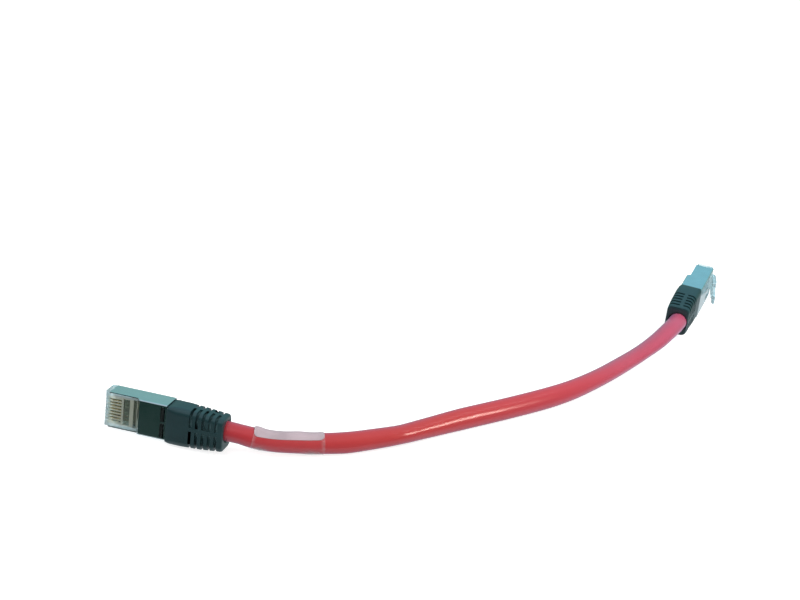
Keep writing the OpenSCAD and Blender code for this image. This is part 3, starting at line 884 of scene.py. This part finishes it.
def markRecesses(piece):
    # Says how far below the piece's convex hull each vertex lies, in millimetres.
    hull = bmesh.new()
    for vertex in piece.data.vertices:
        hull.verts.new(vertex.co)
    bmesh.ops.convex_hull(hull, input=hull.verts)
    skin = BVHTree.FromBMesh(hull)
    depths = [skin.find_nearest(vertex.co)[3] / millimetre for vertex in piece.data.vertices]
    hull.free()
    layer = piece.data.attributes.new("recess", "FLOAT", "POINT")
    layer.data.foreach_set("value", np.array(depths, np.float32))


def coat(piece, finish):
    piece.data.materials.clear()
    piece.data.materials.append(finish)


def dressPlug(side):
    finishes["body"] = bodyPlastic(f"clearPolycarbonate_{side}", side, finishLooks["body"])
    for part, (finish, slotName, width) in dressing.items():
        node = f"plug_{side}_{part}"
        piece = easedCopy(node, width)
        if part == "boot":
            markRecesses(piece)
        coat(piece, finishes[finish])
        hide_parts(node)
        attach(piece, f"latch_{side}" if part == "latch" else "cable")
    coat(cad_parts[f"plug_{side}_wire_pairs"], finishes["foil"])
    makeContacts(side)
    for i, wire in wires.items():
        if "stripe" in wire:
            name = f"wire{i}Insulation_{side}"
            finish = stripedWire(name, side, i, wire["stripe"], finishLooks["wire"])
        else:
            finish = finishes[f"wire{i}"]
        coat(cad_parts[f"plug_{side}_wire_{i}"], finish)


for i, wire in wires.items():
    if "colour" in wire:
        look = {**finishLooks["wire"], "colour": wire["colour"]}
        finishes[f"wire{i}"] = moulded(f"wire{i}Insulation", look)
for side in plugs:
    dressPlug(side)
print("plugs dressed")

studio = {
    "ambient": (0.93, 0.97, 1.0), "ambientStrength": 0.5,
    "frontLow": (0.004, 0.026, 0.021), "behindLow": (0.247, 0.443, 0.404),
    "behindHigh": (0.24, 0.60, 0.74), "overhead": (0.5, 0.64, 0.74),
    "table": (0.60, 0.70, 0.74), "floor": (0.62, 0.62, 0.62), "floorGlow": 0.78,
    # where the room's parts start and end, by the upward or backward share of the direction
    "behindFrom": (-0.35, 0.3), "highFrom": (0.15, 0.45), "overheadFrom": (0.45, 0.9),
    "tableFrom": (-0.42, -0.3), "floorHalf": 1.5, "floorRough": 0.9,
    # name: place, width and height, power, colour and whether mirrors see the lamp
    "lamps": {
        "keyLight": ((0.50, -0.10, 0.64), (0.3, 0.3), 3.0, (1, 1, 1), False),
        "softLight": ((-0.45, -0.35, 0.7), (0.6, 0.6), 2.4, (1, 1, 1), False),
        "glintLight": ((0.648, -0.421, 0.303), (0.06, 0.26), 1.6, (1, 0.8, 0.70), True),
    },
}


def seen(path):
    # Straight from the eye or through clear plastic, but not in a mirror.
    return calculate(path.id_data, "MAXIMUM", path.outputs["Is Camera Ray"],
                     path.outputs["Is Transmission Ray"])


def makeWorld():
    # White to the eye; mirrors see a room that is dark in front and teal behind and above,
    # over a pale table.
    world = bpy.data.worlds.new("studio")
    scene.world = world
    world.use_nodes = True
    tree = world.node_tree
    path = tree.nodes.new("ShaderNodeLightPath")
    direction = tree.nodes.new("ShaderNodeTexCoord").outputs["Generated"]
    way = addNode(tree, "ShaderNodeSeparateXYZ", Vector=direction)
    behind = levels(tree, way.outputs["Y"], 0, 1, *studio["behindFrom"])
    height = levels(tree, way.outputs["Z"], 0, 1, *studio["highFrom"])
    zenith = levels(tree, way.outputs["Z"], 0, 1, *studio["overheadFrom"])
    far = mixColour(tree, height, studio["behindLow"], studio["behindHigh"])
    room = mixColour(tree, behind, studio["frontLow"], far)
    sky = mixColour(tree, zenith, room, studio["overhead"])
    below = levels(tree, way.outputs["Z"], 1, 0, *studio["tableFrom"])
    sky = mixColour(tree, below, sky, studio["table"])
    mirrored = addNode(tree, "ShaderNodeBackground", Color=sky, Strength=1.0)
    ambient = tree.nodes["Background"]
    ambient.inputs["Color"].default_value = (*studio["ambient"], 1)
    ambient.inputs["Strength"].default_value = studio["ambientStrength"]
    white = addNode(tree, "ShaderNodeBackground", Color=(1, 1, 1, 1), Strength=1.0)
    glossy = tree.nodes.new("ShaderNodeMixShader")
    tree.links.new(path.outputs["Is Glossy Ray"], glossy.inputs[0])
    tree.links.new(ambient.outputs[0], glossy.inputs[1])
    tree.links.new(mirrored.outputs[0], glossy.inputs[2])
    final = tree.nodes.new("ShaderNodeMixShader")
    tree.links.new(seen(path), final.inputs[0])
    tree.links.new(glossy.outputs[0], final.inputs[1])
    tree.links.new(white.outputs[0], final.inputs[2])
    tree.links.new(final.outputs[0], tree.nodes["World Output"].inputs[0])


def makeFloor():
    half = studio["floorHalf"]
    corners = [(-half, -half, 0), (half, -half, 0), (half, half, 0), (-half, half, 0)]
    floor = newObject("floor", meshFrom("floor", corners, [(0, 1, 2, 3)]))
    material, tree, shader = newMaterial("paleFloor")
    shader.inputs["Base Color"].default_value = (*studio["floor"], 1)
    shader.inputs["Roughness"].default_value = studio["floorRough"]
    glow = addNode(tree, "ShaderNodeEmission", Color=(1, 1, 1, 1), Strength=studio["floorGlow"])
    lit = tree.nodes.new("ShaderNodeAddShader")
    tree.links.new(shader.outputs[0], lit.inputs[0])
    tree.links.new(glow.outputs[0], lit.inputs[1])
    final = tree.nodes.new("ShaderNodeMixShader")
    tree.links.new(seen(tree.nodes.new("ShaderNodeLightPath")), final.inputs[0])
    tree.links.new(shader.outputs[0], final.inputs[1])
    tree.links.new(lit.outputs[0], final.inputs[2])
    tree.links.new(final.outputs[0], tree.nodes["Material Output"].inputs[0])
    floor.data.materials.append(material)
    floor.visible_glossy = False


def makeLamps():
    for name, (spot, size, power, colour, mirrored) in studio["lamps"].items():
        data = bpy.data.lights.new(name, "AREA")
        data.shape = "ELLIPSE"
        data.size, data.size_y = size
        data.energy = power
        data.color = colour
        lamp = bpy.data.objects.new(name, data)
        lamp.location = spot
        lamp.rotation_euler = (-Vector(spot)).to_track_quat("-Z", "Y").to_euler()
        scene.collection.objects.link(lamp)
        lamp.visible_glossy = mirrored


makeWorld()
makeFloor()
makeLamps()
scene.view_settings.view_transform = "Standard"
print("studio set")
